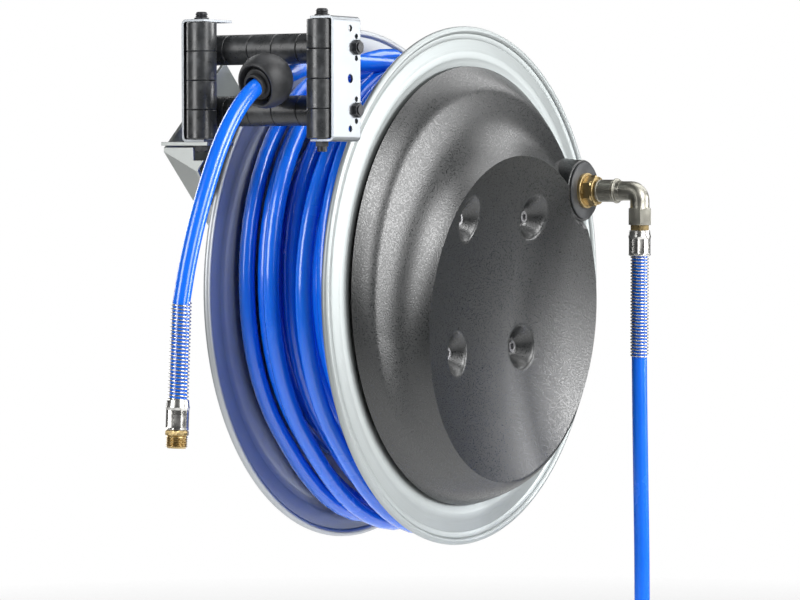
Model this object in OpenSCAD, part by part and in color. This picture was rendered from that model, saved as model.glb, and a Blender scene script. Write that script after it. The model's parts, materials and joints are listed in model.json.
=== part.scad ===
// Wall-mounted spring-rewind hose reel, with a roller guide and a swivel inlet.
// Millimetres. +Z is up, +Y points into the wall, and +X runs along the axle towards the cover.
// The origin is the centre of the wall bolt pattern, on the wall face.

/* [Drum] */
// Outside diameter of the two discs, over their rolled beads
disc_d = 440; // [436:1:444]
// Diameter of the rolled bead on each disc
bead_d = 6.4; // [5.6:0.1:6.8]
// Distance between the sheet faces of the two discs
drum_w = 114; // [112:1:114]
// Outside diameter of the drum core that the hose winds on
core_d = 260; // [252:1:262]

/* [Hose] */
// Outside diameter of the hose
hose_d = 13.5; // [12:0.5:14]
// Outside diameter of the wound pack of hose
pack_d = 356; // [340:2:358]

/* [Cover] */
// Outside diameter of the domed cover
cover_d = 372; // [366:1:376]
// Diameter of the ridge round the cover's dish
ridge_d = 277; // [270:1:278]
// Wall thickness of the cover
cover_wall = 2.7; // [2.2:0.1:3]

/* [Guide] */
// Diameter of the guide rollers
roller_d = 24.4; // [20:0.4:24.4]
// Distance over the outer faces of the two guide brackets
guide_w = 147.2; // [147:0.2:150]
// Height of the guide brackets
guide_h = 98.5; // [98:0.5:100]

/* [Wall bracket] */
// Distance from the wall to the axle
axle_reach = 245; // [244:1:250]
// Height of the wall flange
flange_h = 220; // [210:5:240]
// Diameter of each wall bolt hole
wall_hole_d = 9; // [7:0.5:11]
// Vertical distance between the wall bolt holes
wall_rows = 160; // [140:5:180]
// Horizontal distance between the wall bolt holes
wall_columns = 60; // [50:2:64]

/* [Hidden] */
$fn = 48;

// The reel's middle plane, from the wall pattern's centre
reel_x = 41;
sheet = 1.5;
plate = 4;

// Discs
disc_r = disc_d / 2;
bead_r = bead_d / 2;
disc_in = drum_w / 2;
disc_out = disc_in + sheet;
core_r = core_d / 2;
core_wall = 1.5;
pack_r = pack_d / 2;
rib_r = 196;
rib_w = 6;
rib_h = 1.2;

// Axle and bearings
axle_r = 15;
axle_tip_r = 12;
axle_stub_r = 10;
axle_bore_r = 6;
run_gap = 0.05;
hub_r = 24;
hub_flange_r = 46;
hub_flange_t = 7;
bush_r = 19;
hub_screws = 6;
hub_screw_r = 3;
hub_screw_circle = 35;
web_x = -87;
arm_t = 3;
stator_x = 60.3;
stator_t = 2.2;
stator_r = 122;

// Ratchet
ratchet_x0 = -66;
ratchet_x1 = -61;
ratchet_r = 60;
notch_count = 8;
notch_w = 24;
notch_floor = 51;
notch_angle = 3.5;
pawl_at = [80, 22];
pawl_len = 32;
pawl_rest = 240.4;
pawl_pin_r = 4;

// Cover: a loft from the outer circle to the eccentric, tilted ridge circle
cover_x = 61.9;
cover_r = cover_d / 2;
ridge_r = ridge_d / 2;
ridge_at = [14.5, -28];
ridge_x = 97;
ridge_slope = 0.042;
dish_depth = 20;
wall_rings = 9;
dish_rings = 5;
cover_sides = 48;
shoulder_end = 0.3;
shoulder_rise = 0.27;
slope_rise = 0.3;
sweep_power = 3.2;
pocket_half = 56;
pocket_middle = [-2, 2];
pocket_mouth_r = 18.5;
pocket_floor_r = 8.5;
pocket_depth = 13.5;
screw_head_r = 5;
screw_head_h = 4.5;
screw_r = 3;
boss_at = [132, 80];
boss_r = 27;
boss_x = 95.5;
boss_foot_x = 73;
grommet_t = 2;

// Inlet fittings along the boss's axis, then down the hose's axis
bulkhead_x = boss_x + grommet_t;
bulkhead_flange_t = 3;
bulkhead_hex_t = 10;
hex_x = bulkhead_x + bulkhead_flange_t;
swivel_x = hex_x + bulkhead_hex_t + 0.3;
elbow_join_x = 134;
inlet_x = 151.5;
inlet_nut_top = 65;
inlet_nut_low = 50.5;
inlet_tail_low = 46;
inlet_ferrule_low = 24;
guard_len = 88;
inlet_end = -576;

// Guide
guide_x = 5.2;
guide_low = 121.5;
guide_front = -236.5;
guide_depth = 38.5;
guide_t = 2;
flange_w = 22;
bend_r = 4;
pin_r = 4;
pin_inset = 15.1;
pin_front_y = -230;
pin_rear_y = -204.8;
pin_top_z = 195.8;
pin_low_z = 146.3;
vertical_sleeves = 4;
horizontal_sleeves = 6;
sleeve_gap = 0.3;
guide_high = guide_low + guide_h;
guide_left = guide_x - guide_w / 2;
guide_right = guide_x + guide_w / 2;
pin_left_x = guide_left + pin_inset;
pin_right_x = guide_right - pin_inset;
roller_r = roller_d / 2;

// Guide arm outline, in the plane of the far side
arm_end_low = [-232, 116.7];
arm_end_high = [-151, 188];

// Delivery hose: from the top of the pack, through the rollers, to the fitting that hangs in front
delivery_route = [
    [16, 0, 185.5], [16, -30, 186], [16, -60, 186.5], [15.5, -92, 187], [14.5, -125, 187],
    [13.5, -155, 185.5], [13.5, -182, 181], [15, -206, 175.2], [18, -228, 171.8],
    [21, -246, 169], [21, -262, 162.5], [20, -277, 151], [18.5, -291, 135], [17, -304, 114],
    [15.5, -317, 87], [14, -329, 57], [12.7, -338.5, 27], [11.8, -345.5, -2]
];
tip_at = [11.8, -345.5, -2];
tip_tilt = -3.5;
tip_guard_len = 75;
tip_ferrule_len = 23;
tip_hex_len = 3.5;
tip_thread_len = 10;
thread_r = 8.33;
guard_r = 8.5;
ferrule_r = 9.3;

// Inlet hose: hangs straight from its ferrule
inlet_route = [
    [inlet_x, 132, inlet_ferrule_low], [inlet_x, 132, -20], [inlet_x, 132, -66], [152.3, 132, -120],
    [153.5, 132, -180], [154.6, 132, -240], [155, 132, -300], [154.6, 132, -370],
    [153.4, 132, -440], [152, 132, -510], [inlet_x, 132, inlet_end]
];

hose_sides = 10;
ring_step = 2.4 * hose_d;

// --- helpers ---

module at_axle() translate([reel_x, -axle_reach, 0]) children();

// A rod along X from x0 to x1, centred on the point yz
module rod(x0, x1, r, yz = [0, 0]) {
    translate([x0, yz[0], yz[1]]) rotate([0, 90, 0]) cylinder(h = x1 - x0, r = r);
}

// A tapered rod along X
module taper(x0, x1, r0, r1, yz = [0, 0]) {
    translate([x0, yz[0], yz[1]]) rotate([0, 90, 0]) cylinder(h = x1 - x0, r1 = r0, r2 = r1);
}

// A hexagon along X, r across corners
module hex_rod(x0, x1, r, yz = [0, 0]) {
    translate([x0, yz[0], yz[1]]) rotate([0, 90, 0]) cylinder(h = x1 - x0, r = r, $fn = 6);
}

module tube(x0, x1, r_in, r_out, yz = [0, 0]) {
    difference() {
        rod(x0, x1, r_out, yz);
        rod(x0 - 1, x1 + 1, r_in, yz);
    }
}

// A flat outline in the Y-Z plane, given thickness from x0 to x1
module side_plate(x0, x1) {
    translate([x0, 0, 0]) rotate([90, 0, 90]) linear_extrude(x1 - x0) children();
}

// Copies round the axle
module round_axle(count, offset = 0) {
    for (i = [0 : count - 1]) rotate([offset + i * 360 / count, 0, 0]) children();
}

// A thin flat slab through corner points
module slab(points, t) {
    hull() for (p = points) translate(p) cube(t, center = true);
}

// A stack of rings round the Z axis: the outline of one bore and one outside, from z0 to z1
module upright(z0, z1, r_in, r_out, at) {
    translate([at[0], at[1], z0]) difference() {
        cylinder(h = z1 - z0, r = r_out);
        translate([0, 0, -1]) cylinder(h = z1 - z0 + 2, r = r_in);
    }
}

// --- swept hose ---

function span(a, b) = norm(b - a);
function unit(v) = v / norm(v);
// Catmull-Rom point between route[i] and route[i + 1]
function curve_point(route, i, t) =
    let (n = len(route) - 1,
         p0 = route[max(i - 1, 0)], p1 = route[i], p2 = route[i + 1], p3 = route[min(i + 2, n)])
    0.5 * (2 * p1 + (p2 - p0) * t + (2 * p0 - 5 * p1 + 4 * p2 - p3) * t * t
           + (3 * p1 - p0 - 3 * p2 + p3) * t * t * t);
function curve(route) = [
    for (i = [0 : len(route) - 2])
        let (steps = max(1, round(span(route[i], route[i + 1]) / ring_step)))
        for (k = [0 : steps - 1]) curve_point(route, i, k / steps),
    route[len(route) - 1]
];
function tangent(line, i) = unit(line[min(i + 1, len(line) - 1)] - line[max(i - 1, 0)]);
// Rings stay square to the line, and are steadied on the X axis, which no hose here follows
function hose_ring(line, i, r, sides) =
    let (t = tangent(line, i), u = unit([1, 0, 0] - t * t[0]), v = cross(t, u))
    [for (k = [0 : sides - 1]) line[i] + r * (cos(360 * k / sides) * u + sin(360 * k / sides) * v)];

module swept(route, r, sides = hose_sides) {
    line = curve(route);
    n = len(line);
    points = [for (i = [0 : n - 1]) each hose_ring(line, i, r, sides)];
    skin = [
        for (i = [0 : n - 2], k = [0 : sides - 1])
            let (a = i * sides + k, b = i * sides + (k + 1) % sides, c = a + sides, d = b + sides)
            each [[a, d, b], [a, c, d]]
    ];
    ends = [[for (k = [0 : sides - 1]) k], [for (k = [sides - 1 : -1 : 0]) (n - 1) * sides + k]];
    polyhedron(points = points, faces = concat(skin, ends), convexity = 8);
}

// --- wall side ---

module bracket_outline() {
    hull() {
        circle(r = 46);
        translate([axle_reach - plate - 1, -flange_h / 2]) square([1, flange_h]);
    }
}

module bracket_gusset() {
    linear_extrude(3) polygon([[0, 0], [0, -30], [30, 0]]);
}

module wall_bracket() color("silver") at_axle() {
    difference() {
        union() {
            side_plate(web_x, web_x + plate) bracket_outline();
            translate([web_x, axle_reach - plate, -flange_h / 2]) cube([92, plate, flange_h]);
            for (z = [-70, 67])
                translate([web_x + plate, axle_reach - plate, z]) bracket_gusset();
        }
        rod(web_x - 1, web_x + plate + 1, axle_stub_r);
        rod(web_x - 1, web_x + plate + 1, pawl_pin_r, pawl_at);
        round_axle(3, 60) rod(web_x - 1, web_x + plate + 1, hub_screw_r, [33, 0]);
        for (x = [-1, 1], z = [-1, 1])
            translate([-reel_x + x * wall_columns / 2, axle_reach + 1, z * wall_rows / 2])
                rotate([90, 0, 0]) cylinder(h = plate + 2, d = wall_hole_d);
        // Weight-saving window in the web
        side_plate(web_x - 1, web_x + plate + 1) hull() {
            translate([125, 0]) circle(r = 22);
            translate([195, 0]) circle(r = 42);
        }
    }
}

module axle() color("gainsboro") at_axle() difference() {
    union() {
        rod(web_x - 17, web_x + plate, axle_stub_r);
        rod(web_x + plate, web_x + plate + 5, 26);
        rod(web_x + plate + 5, stator_x, axle_r);
        rod(stator_x, stator_x + stator_t, axle_tip_r);
    }
    rod(20, stator_x + stator_t + 1, axle_bore_r);
    for (a = [0, 90]) rotate([a, 0, 0]) translate([34, 0, -axle_r - 1]) cylinder(h = 2 * axle_r + 2, r = 3);
}

module axle_washer() color("silver") at_axle()
    tube(web_x - arm_t - 3, web_x - arm_t, axle_stub_r, 19);

module axle_nut() color("dimgray") at_axle() difference() {
    hex_rod(web_x - arm_t - 12, web_x - arm_t - 3, 17.3);
    rod(web_x - arm_t - 13, web_x - arm_t - 2, axle_stub_r);
}

module stator_plate() color("lightgray") at_axle() difference() {
    rod(stator_x, stator_x + stator_t, stator_r);
    rod(stator_x - 1, stator_x + stator_t + 1, axle_tip_r);
    each_pocket() rod(stator_x - 1, stator_x + stator_t + 1, screw_r);
    round_axle(4) rod(stator_x - 1, stator_x + stator_t + 1, 20, [85, 0]);
}

feed_x = 67;
feed_r = 4;
feed_bore_r = 2.7;
feed_start = 13 * boss_at / norm(boss_at);

// A rod in the plane X = x, from point a to point b in Y and Z
module rod_yz(x, a, b, r) {
    translate([x, a[0], a[1]]) rotate([atan2(b[1] - a[1], b[0] - a[0]), 0, 0]) rotate([-90, 0, 0])
        cylinder(h = norm(b - a), r = r);
}

module feed_pipe() color("orange") at_axle() difference() {
    union() {
        rod_yz(feed_x, feed_start, boss_at, feed_r);
        // Elbow block behind the boss
        rod(feed_x - feed_r - 1.5, 84, feed_r + 2.5, boss_at);
    }
    rod_yz(feed_x, feed_start - [1, 1], boss_at, feed_bore_r);
    rod(feed_x, 85, feed_bore_r + 0.5, boss_at);
}

module axle_banjo() color("goldenrod") at_axle() difference() {
    union() {
        rod(stator_x + stator_t, 75, 14);
        tube(75, 76, 3, 9);
    }
    rod(stator_x, 72, axle_bore_r);
    rod_yz(feed_x, [0, 0], boss_at / 8, feed_bore_r);
}

// --- cover ---

function ridge_height(z) = ridge_x + ridge_slope * (z - ridge_at[1]);
function dish_height(y, z) =
    let (q = ((y - ridge_at[0]) * (y - ridge_at[0]) + (z - ridge_at[1]) * (z - ridge_at[1])) / (ridge_r * ridge_r))
    ridge_height(z) - dish_depth * (1 - q);
// Width of the wall between the outer circle and the ridge at angle a
function wall_gap(a) = norm((cover_r - ridge_r) * [cos(a), sin(a)] - ridge_at);
// Height of the wall from 0 to 1, t across it: a round edge where it is narrow, and where it is wide a
// round shoulder and a slope that sweeps up to a crisp ridge
function wall_rise(t, a) =
    let (wide = min(max((wall_gap(a) - 20) / 45, 0), 1),
         narrow_form = pow(sin(90 * t), 0.8),
         sweep = max(0, (t - shoulder_end) / (1 - shoulder_end)),
         wide_form = shoulder_rise * sin(90 * min(1, t / shoulder_end)) + slope_rise * t
                     + (1 - shoulder_rise - slope_rise) * pow(sweep, sweep_power))
    (1 - wide) * narrow_form + wide * wide_form;
function loft_point(t, a, inset) =
    let (dir = [cos(a), sin(a)],
         low = (cover_r - inset) * dir,
         high = ridge_at + (ridge_r - inset) * dir,
         p = low + t * (high - low),
         top = ridge_height(high[1]) - inset)
    [cover_x + wall_rise(t, a) * (top - cover_x), p[0], p[1]];
function dish_point(t, a, inset) =
    let (p = ridge_at + (1 - t) * (ridge_r - inset) * [cos(a), sin(a)])
    [dish_height(p[0], p[1]) - inset, p[0], p[1]];
// Points of the cover's surface, ring by ring from the outer edge over the ridge and into the dish
function cover_rings(inset) = [
    for (i = [0 : wall_rings + dish_rings - 1], k = [0 : cover_sides - 1])
        let (a = 360 * k / cover_sides)
        i < wall_rings
            ? loft_point(i / (wall_rings - 1), a, inset)
            : dish_point((i - wall_rings + 1) / dish_rings, a, inset)
];
function dish_middle(inset) = [dish_height(ridge_at[0], ridge_at[1]) - inset, ridge_at[0], ridge_at[1]];
ring_total = wall_rings + dish_rings - 1;

// Faces over the rings that start at point number first, closed at the point number middle
function cover_skin(first, middle, outward) =
    let (m = cover_sides,
         quads = [
             for (i = [0 : ring_total - 2], k = [0 : m - 1])
                 let (a = first + i * m + k, b = first + i * m + (k + 1) % m, c = a + m, d = b + m)
                 each [[a, d, b], [a, c, d]]
         ],
         fan = [
             for (k = [0 : m - 1])
                 let (e = first + (ring_total - 1) * m)
                 [e + k, middle, e + (k + 1) % m]
         ])
    [for (f = concat(quads, fan)) outward ? f : [f[2], f[1], f[0]]];

function trimmed(points) = [for (i = [0 : ring_total * cover_sides - 1]) points[i]];

// The dish and wall as a thin shell, open towards the drum
module cover_shell() {
    m = cover_sides;
    n = ring_total * m;
    points = concat(
        trimmed(cover_rings(0)), trimmed(cover_rings(cover_wall)),
        [dish_middle(0), dish_middle(cover_wall)]
    );
    edge = [
        for (k = [0 : m - 1])
            let (j = (k + 1) % m)
            each [[k, j, n + j], [k, n + j, n + k]]
    ];
    polyhedron(
        points = points,
        faces = concat(cover_skin(0, 2 * n, true), cover_skin(n, 2 * n + 1, false), edge),
        convexity = 6
    );
}

// The space under the middle of the shell's wall, as one solid
module cover_core() {
    m = cover_sides;
    n = ring_total * m;
    inset = cover_wall / 2;
    points = concat(trimmed(cover_rings(inset)), [dish_middle(inset), [cover_x, 0, 0]]);
    foot = [for (k = [0 : m - 1]) [k, (k + 1) % m, n + 1]];
    polyhedron(points = points, faces = concat(cover_skin(0, n, true), foot), convexity = 6);
}

function pocket_centre(i, k) = pocket_middle + pocket_half * [i, k];
module each_pocket() {
    for (i = [-1, 1], k = [-1, 1])
        let (c = pocket_centre(i, k)) translate([0, c[0], c[1]]) children();
}

module pocket_cups() {
    for (i = [-1, 1], k = [-1, 1])
        let (c = pocket_centre(i, k), mouth = dish_height(c[0], c[1]))
        taper(stator_x + stator_t, mouth + 2, 11, pocket_mouth_r + 2, c);
}

module pocket_hollows() {
    slope = (pocket_mouth_r - pocket_floor_r) / pocket_depth;
    for (i = [-1, 1], k = [-1, 1])
        let (c = pocket_centre(i, k), mouth = dish_height(c[0], c[1])) {
            taper(mouth - pocket_depth, mouth + 4, pocket_floor_r, pocket_mouth_r + 4 * slope, c);
            rod(stator_x, mouth, screw_r, c);
        }
}

module cover() color("#2e3133") at_axle() difference() {
    union() {
        cover_shell();
        intersection() {
            pocket_cups();
            cover_core();
        }
        rod(boss_foot_x, boss_x, boss_r, boss_at);
    }
    pocket_hollows();
    rod(60, boss_x - 6, boss_r - 4, boss_at);
    rod(60, boss_x + 1, 9, boss_at);
    // Seat of the grommet, where the ridge stands higher than the boss
    taper(boss_x, boss_x + 8, boss_r, boss_r + 8, boss_at);
}

module cover_screws() color("dimgray") at_axle() {
    for (i = [-1, 1], k = [-1, 1])
        let (c = pocket_centre(i, k), seat = dish_height(c[0], c[1]) - pocket_depth)
        difference() {
            union() {
                rod(stator_x, seat + 1, screw_r, c);
                rod(seat, seat + screw_head_h, screw_head_r, c);
            }
            hex_rod(seat + 1.5, seat + screw_head_h + 1, 2.9, c);
        }
}

module inlet_grommet() color("#1d1f20") at_axle()
    tube(boss_x, boss_x + grommet_t, 9, boss_r - 1.5, boss_at);

module inlet_bulkhead() color("darkgoldenrod") at_axle() difference() {
    union() {
        rod(84, bulkhead_x, 9, boss_at);
        rod(bulkhead_x, hex_x, 15.5, boss_at);
        hex_rod(hex_x, hex_x + bulkhead_hex_t, 13.6, boss_at);
        rod(hex_x + bulkhead_hex_t, swivel_x + 14, 6, boss_at);
    }
    rod(83, swivel_x + 15, 3, boss_at);
}

// --- guide ---

// One folded bracket, open towards +X, with its outer face at X = 0 and its top corner square
module guide_channel() {
    h = guide_high - guide_low;
    difference() {
        translate([0, guide_front + guide_depth, guide_low]) rotate([90, 0, 0]) linear_extrude(guide_depth)
            difference() {
                offset(r = bend_r, $fn = 32) translate([bend_r, bend_r])
                    square([2 * flange_w, h - 2 * bend_r]);
                offset(r = bend_r - guide_t, $fn = 32) translate([bend_r, bend_r])
                    square([2 * flange_w, h - 2 * bend_r]);
                translate([flange_w, -1]) square([2 * flange_w, h + 2]);
            }
        translate([pin_inset, pin_front_y, guide_low - 1]) cylinder(h = h + 2, r = pin_r);
        for (z = [pin_top_z, pin_low_z]) {
            rod(-1, guide_t + 1, pin_r, [pin_rear_y, z]);
            for (s = [-1, 1]) rod(-1, guide_t + 1, 2.2, [pin_rear_y + 1, z + 8.6 * s]);
        }
        rod(-1, guide_t + 1, 3.6, [guide_front + 24, (pin_top_z + pin_low_z) / 2]);
        for (z = [pin_top_z + 14.8, pin_low_z - 14.8]) rod(-1, guide_t + 1, 2.6, [guide_front + 24, z]);
    }
}

module guide_bracket_left() color("silver") at_axle()
    translate([guide_left, 0, 0]) guide_channel();

module guide_bracket_right() color("silver") at_axle()
    translate([guide_right, 0, 0]) mirror([1, 0, 0]) guide_channel();

module guide_arm() color("lightgray") at_axle() {
    x0 = web_x - arm_t;
    low = arm_end_low;
    difference() {
        union() {
            side_plate(x0, web_x) polygon([
                low, arm_end_high, [-42, 79], [44, 14], [46, -20], [28, -42], [0, -48], [-62, -53]
            ]);
            // Shelf under the left bracket
            translate([x0, guide_front + 1, guide_low - 3]) cube([46, 36, 3]);
            // Folded front tab and the slanting lip along the arm's lower edge
            slab([
                [x0 + 1, low[0] + 1, 116], [-56, low[0] + 1, 116],
                [-51, low[0] + 1, 108], [-57, low[0] + 1, 100]
            ], 2);
            slab([
                [x0 + 1, low[0] + 1, 114.5], [-57, low[0] + 1, 99],
                [-66, low[0] + 34, 73], [x0 + 1, low[0] + 138, -23]
            ], 2);
        }
        rod(x0 - 1, web_x + 1, axle_stub_r);
        round_axle(3, 60) rod(x0 - 1, web_x + 1, hub_screw_r, [33, 0]);
        translate([pin_left_x, pin_front_y, guide_low - 4]) cylinder(h = 5, r = pin_r);
        // Room for the nut under the shelf
        translate([pin_left_x, pin_front_y, guide_low - 15]) cylinder(h = 12, r = 7.4);
        // Clearance round the rim of the far disc
        rod(-65.5, -50, disc_r + 4);
    }
}

module arm_bolts() color("dimgray") at_axle()
    round_axle(3, 60) {
        rod(web_x - arm_t, web_x + plate, hub_screw_r, [33, 0]);
        hex_rod(web_x - arm_t - 4, web_x - arm_t, 5.8, [33, 0]);
        hex_rod(web_x + plate, web_x + plate + 2, 5.8, [33, 0]);
    }

module vertical_pins() color("#222426") at_axle()
    for (x = [pin_left_x, pin_right_x])
        translate([x, pin_front_y, 0]) {
            translate([0, 0, guide_low - 8]) cylinder(h = guide_h + 9, r = pin_r);
            translate([0, 0, guide_high]) cylinder(h = 1.5, r = 6);
            translate([0, 0, guide_high + 1.5]) cylinder(h = 4.5, r = 4.9);
        }

module vertical_pin_nuts() color("#222426") at_axle()
    for (x = [pin_left_x, pin_right_x])
        let (top = x < 0 ? guide_low - 3 : guide_low)
        translate([x, pin_front_y, 0]) difference() {
            translate([0, 0, top - 4]) cylinder(h = 4, r = 5.6, $fn = 6);
            translate([0, 0, top - 5]) cylinder(h = 6, r = pin_r);
        }

module horizontal_pins() color("#222426") at_axle()
    for (z = [pin_top_z, pin_low_z]) {
        rod(guide_left, guide_right + 5, pin_r, [pin_rear_y, z]);
        rod(guide_left - 4, guide_left, 6, [pin_rear_y, z]);
    }

module horizontal_pin_nuts() color("#222426") at_axle()
    for (z = [pin_top_z, pin_low_z])
        difference() {
            hex_rod(guide_right, guide_right + 3.8, 6, [pin_rear_y, z]);
            rod(guide_right - 1, guide_right + 4.8, pin_r, [pin_rear_y, z]);
        }

// A row of sleeves along Z, each with small lead-in chamfers
module sleeves(length, count) {
    pitch = length / count;
    bore = pin_r + run_gap;
    for (i = [0 : count - 1])
        translate([0, 0, i * pitch + sleeve_gap / 2])
            rotate_extrude() polygon([
                [bore, 0], [roller_r - 0.5, 0], [roller_r, 0.5],
                [roller_r, pitch - sleeve_gap - 0.5], [roller_r - 0.5, pitch - sleeve_gap],
                [bore, pitch - sleeve_gap]
            ]);
}

module vertical_roller(x) {
    low = guide_low + guide_t + 0.3;
    translate([x, pin_front_y, low]) sleeves(guide_high - guide_t - 0.3 - low, vertical_sleeves);
}

module horizontal_roller(z) {
    low = guide_left + guide_t + 0.4;
    translate([low, pin_rear_y, z]) rotate([0, 90, 0])
        sleeves(guide_right - guide_t - 0.4 - low, horizontal_sleeves);
}

module roller_left() color("#26292b") at_axle() vertical_roller(pin_left_x);
module roller_right() color("#26292b") at_axle() vertical_roller(pin_right_x);
module roller_top() color("#26292b") at_axle() horizontal_roller(pin_top_z);
module roller_bottom() color("#26292b") at_axle() horizontal_roller(pin_low_z);

// --- drum ---

// Profile of the near disc, radius against distance from the middle plane
module disc_profile() {
    a = disc_in;
    b = disc_out;
    polygon([
        [hub_r, a], [rib_r - rib_w, a], [rib_r - rib_w / 2, a + rib_h], [rib_r + rib_w / 2, a + rib_h],
        [rib_r + rib_w, a], [disc_r - bead_r, a],
        [disc_r - bead_r, b], [rib_r + rib_w - 0.5, b], [rib_r + rib_w / 2 - 0.5, b + rib_h],
        [rib_r - rib_w / 2 + 0.5, b + rib_h], [rib_r - rib_w + 0.5, b], [hub_r, b]
    ]);
    translate([disc_r - bead_r, (a + b) / 2]) circle(r = bead_r);
}

module disc() difference() {
    rotate([0, 90, 0]) rotate_extrude($fn = 128) disc_profile();
    round_axle(hub_screws) rod(disc_in - 1, disc_out + 1, hub_screw_r, [hub_screw_circle, 0]);
}

module near_disc() color("#c9cdce") at_axle() disc();
module far_disc() color("#c9cdce") at_axle() mirror([1, 0, 0]) disc();

module drum_core() color("lightslategray") at_axle() difference() {
    rod(-disc_in, disc_in, core_r);
    rod(-disc_in - 1, disc_in + 1, core_r - core_wall);
    rotate([180, 0, 0]) translate([34, 0, 100]) cylinder(h = 40, r = 6);
}

// A flanged hub whose flange lies inside its disc and whose neck comes out through it
module hub(neck_end) difference() {
    union() {
        rod(disc_in - hub_flange_t, disc_in, hub_flange_r);
        rod(disc_in, neck_end, hub_r);
    }
    rod(disc_in - hub_flange_t - 1, neck_end + 1, bush_r);
    round_axle(hub_screws)
        rod(disc_in - hub_flange_t - 1, disc_in + 1, hub_screw_r, [hub_screw_circle, 0]);
}

module hub_near() color("slategray") at_axle() hub(59.3);
module hub_far() color("slategray") at_axle() mirror([1, 0, 0]) hub(-ratchet_x0);

module bush_near() color("peru") at_axle()
    tube(disc_in - hub_flange_t, 59.3, axle_r + run_gap, bush_r);
module bush_far() color("peru") at_axle()
    tube(ratchet_x0, -disc_in + hub_flange_t, axle_r + run_gap, bush_r);

module disc_screws() color("dimgray") at_axle() {
    round_axle(hub_screws) {
        rod(disc_in - hub_flange_t, disc_out, hub_screw_r, [hub_screw_circle, 0]);
        rod(ratchet_x0, -disc_in + hub_flange_t, hub_screw_r, [hub_screw_circle, 0]);
        rod(ratchet_x0 - 3, ratchet_x0, 4.8, [hub_screw_circle, 0]);
    }
}

spring_x0 = -disc_in + hub_flange_t;
spring_x1 = -8;
spring_case_r = 100;

module spring_case() color("gray") at_axle() difference() {
    rod(spring_x0, spring_x1, spring_case_r);
    rod(spring_x0 + 2, spring_x1 + 1, spring_case_r - 2);
    rod(spring_x0 - 1, spring_x1, hub_r);
    round_axle(hub_screws)
        rod(spring_x0 - 1, spring_x0 + 3, hub_screw_r + 0.5, [hub_screw_circle + 4, 0]);
}

module spring_case_lid() color("darkgray") at_axle()
    tube(spring_x1, spring_x1 + 2, hub_r, spring_case_r);

// Spiral strip of the rewind spring, its inner end lying beside the axle
spring_turns = 7;
spring_r0 = 19;
spring_r1 = 96.5;
spring_t = 1.2;
spring_steps = 30;
function spiral(k, off) =
    let (n = spring_turns * spring_steps, r = spring_r0 + (spring_r1 - spring_r0) * k / n + off)
    r * [cos(k * 360 / spring_steps), sin(k * 360 / spring_steps)];

module power_spring() color("steelblue") at_axle() {
    n = spring_turns * spring_steps;
    side_plate(spring_x0 + 4, spring_x1 - 2) polygon(concat(
        [for (k = [0 : n]) spiral(k, 0)],
        [for (k = [n : -1 : 0]) spiral(k, spring_t)]
    ));
}

module ratchet_wheel() color("dimgray") at_axle() difference() {
    rod(ratchet_x0, -disc_out, ratchet_r);
    rod(ratchet_x0 - 1, -disc_in, hub_r);
    round_axle(hub_screws) rod(ratchet_x0 - 1, -disc_in, hub_screw_r, [hub_screw_circle, 0]);
    round_axle(notch_count, notch_angle)
        translate([ratchet_x0 - 1, notch_floor, -notch_w / 2]) cube([10, 20, notch_w]);
}

module swivel_housing() color("goldenrod") at_axle() difference() {
    rod(20, 48, 27);
    rod(19, 49, axle_r + run_gap);
    for (x = [23, 42]) rod(x, x + 3, axle_r + 3);
    rod(31, 37, axle_r + 3);
    rotate([180, 0, 0]) translate([34, 0, 0]) cylinder(h = 40, r = 3.5);
}

module swivel_seals() color("black") at_axle()
    for (x = [23, 42]) tube(x, x + 3, axle_r + run_gap, axle_r + 3);

module outlet_pipe() color("goldenrod") at_axle() rotate([180, 0, 0]) translate([34, 0, 0]) difference() {
    translate([0, 0, 26.6]) cylinder(h = core_r - 26.6, r = 6);
    translate([0, 0, 20]) cylinder(h = core_r, r = 3.5);
    rod(-20, 20, 27);
}

module outlet_nut() color("silver") at_axle() rotate([180, 0, 0]) translate([34, 0, 0]) difference() {
    translate([0, 0, core_r - 12]) cylinder(h = 9, r = 11, $fn = 6);
    translate([0, 0, core_r - 13]) cylinder(h = 12, r = 6);
}

module wound_hose() color("royalblue") at_axle() rotate([0, 90, 0]) rotate_extrude($fn = 96)
    translate([core_r + 0.2, -disc_in + 0.5])
    offset(r = 5, $fn = 16) offset(delta = -5) square([pack_r - core_r - 0.2, drum_w - 1]);

// --- ratchet pawl ---

module pawl_frame() translate([0, pawl_at[0], pawl_at[1]]) children();

module ratchet_pawl() color("darkslategray") at_axle() pawl_frame() difference() {
    side_plate(ratchet_x0 + 0.3, ratchet_x1 - 0.3) hull() {
        circle(r = 8);
        rotate(pawl_rest) translate([pawl_len, 0]) circle(r = 3.5);
    }
    rod(ratchet_x0 - 1, ratchet_x1 + 1, pawl_pin_r + run_gap);
}

module pawl_pin() color("gainsboro") at_axle() pawl_frame() {
    rod(web_x, -60.3, pawl_pin_r);
    rod(web_x + plate, ratchet_x0 - 6, 7);
    rod(ratchet_x0 - 6, ratchet_x0, 5.2);
}

module pawl_spring() color("silver") at_axle() pawl_frame()
    for (i = [0 : 2]) tube(ratchet_x0 - 5.4 + i * 1.7, ratchet_x0 - 4 + i * 1.7, 5.2, 6.6);

// --- delivery end ---

// Frame whose Z axis points back up the straight end of the delivery hose, from its start
module at_tip() at_axle() translate(tip_at) rotate([tip_tilt, 0, 0]) children();

module delivery_hose() color("dodgerblue") at_axle() swept(delivery_route, hose_d / 2);

// Frame at the ball stop: its Z axis is the hose's direction there, towards the drum
ball_at = [20.6, -245.5, 169.4];
ball_r = 21.8;
module at_ball() at_axle() translate(ball_at) rotate([-72, 0, -6]) children();

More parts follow.
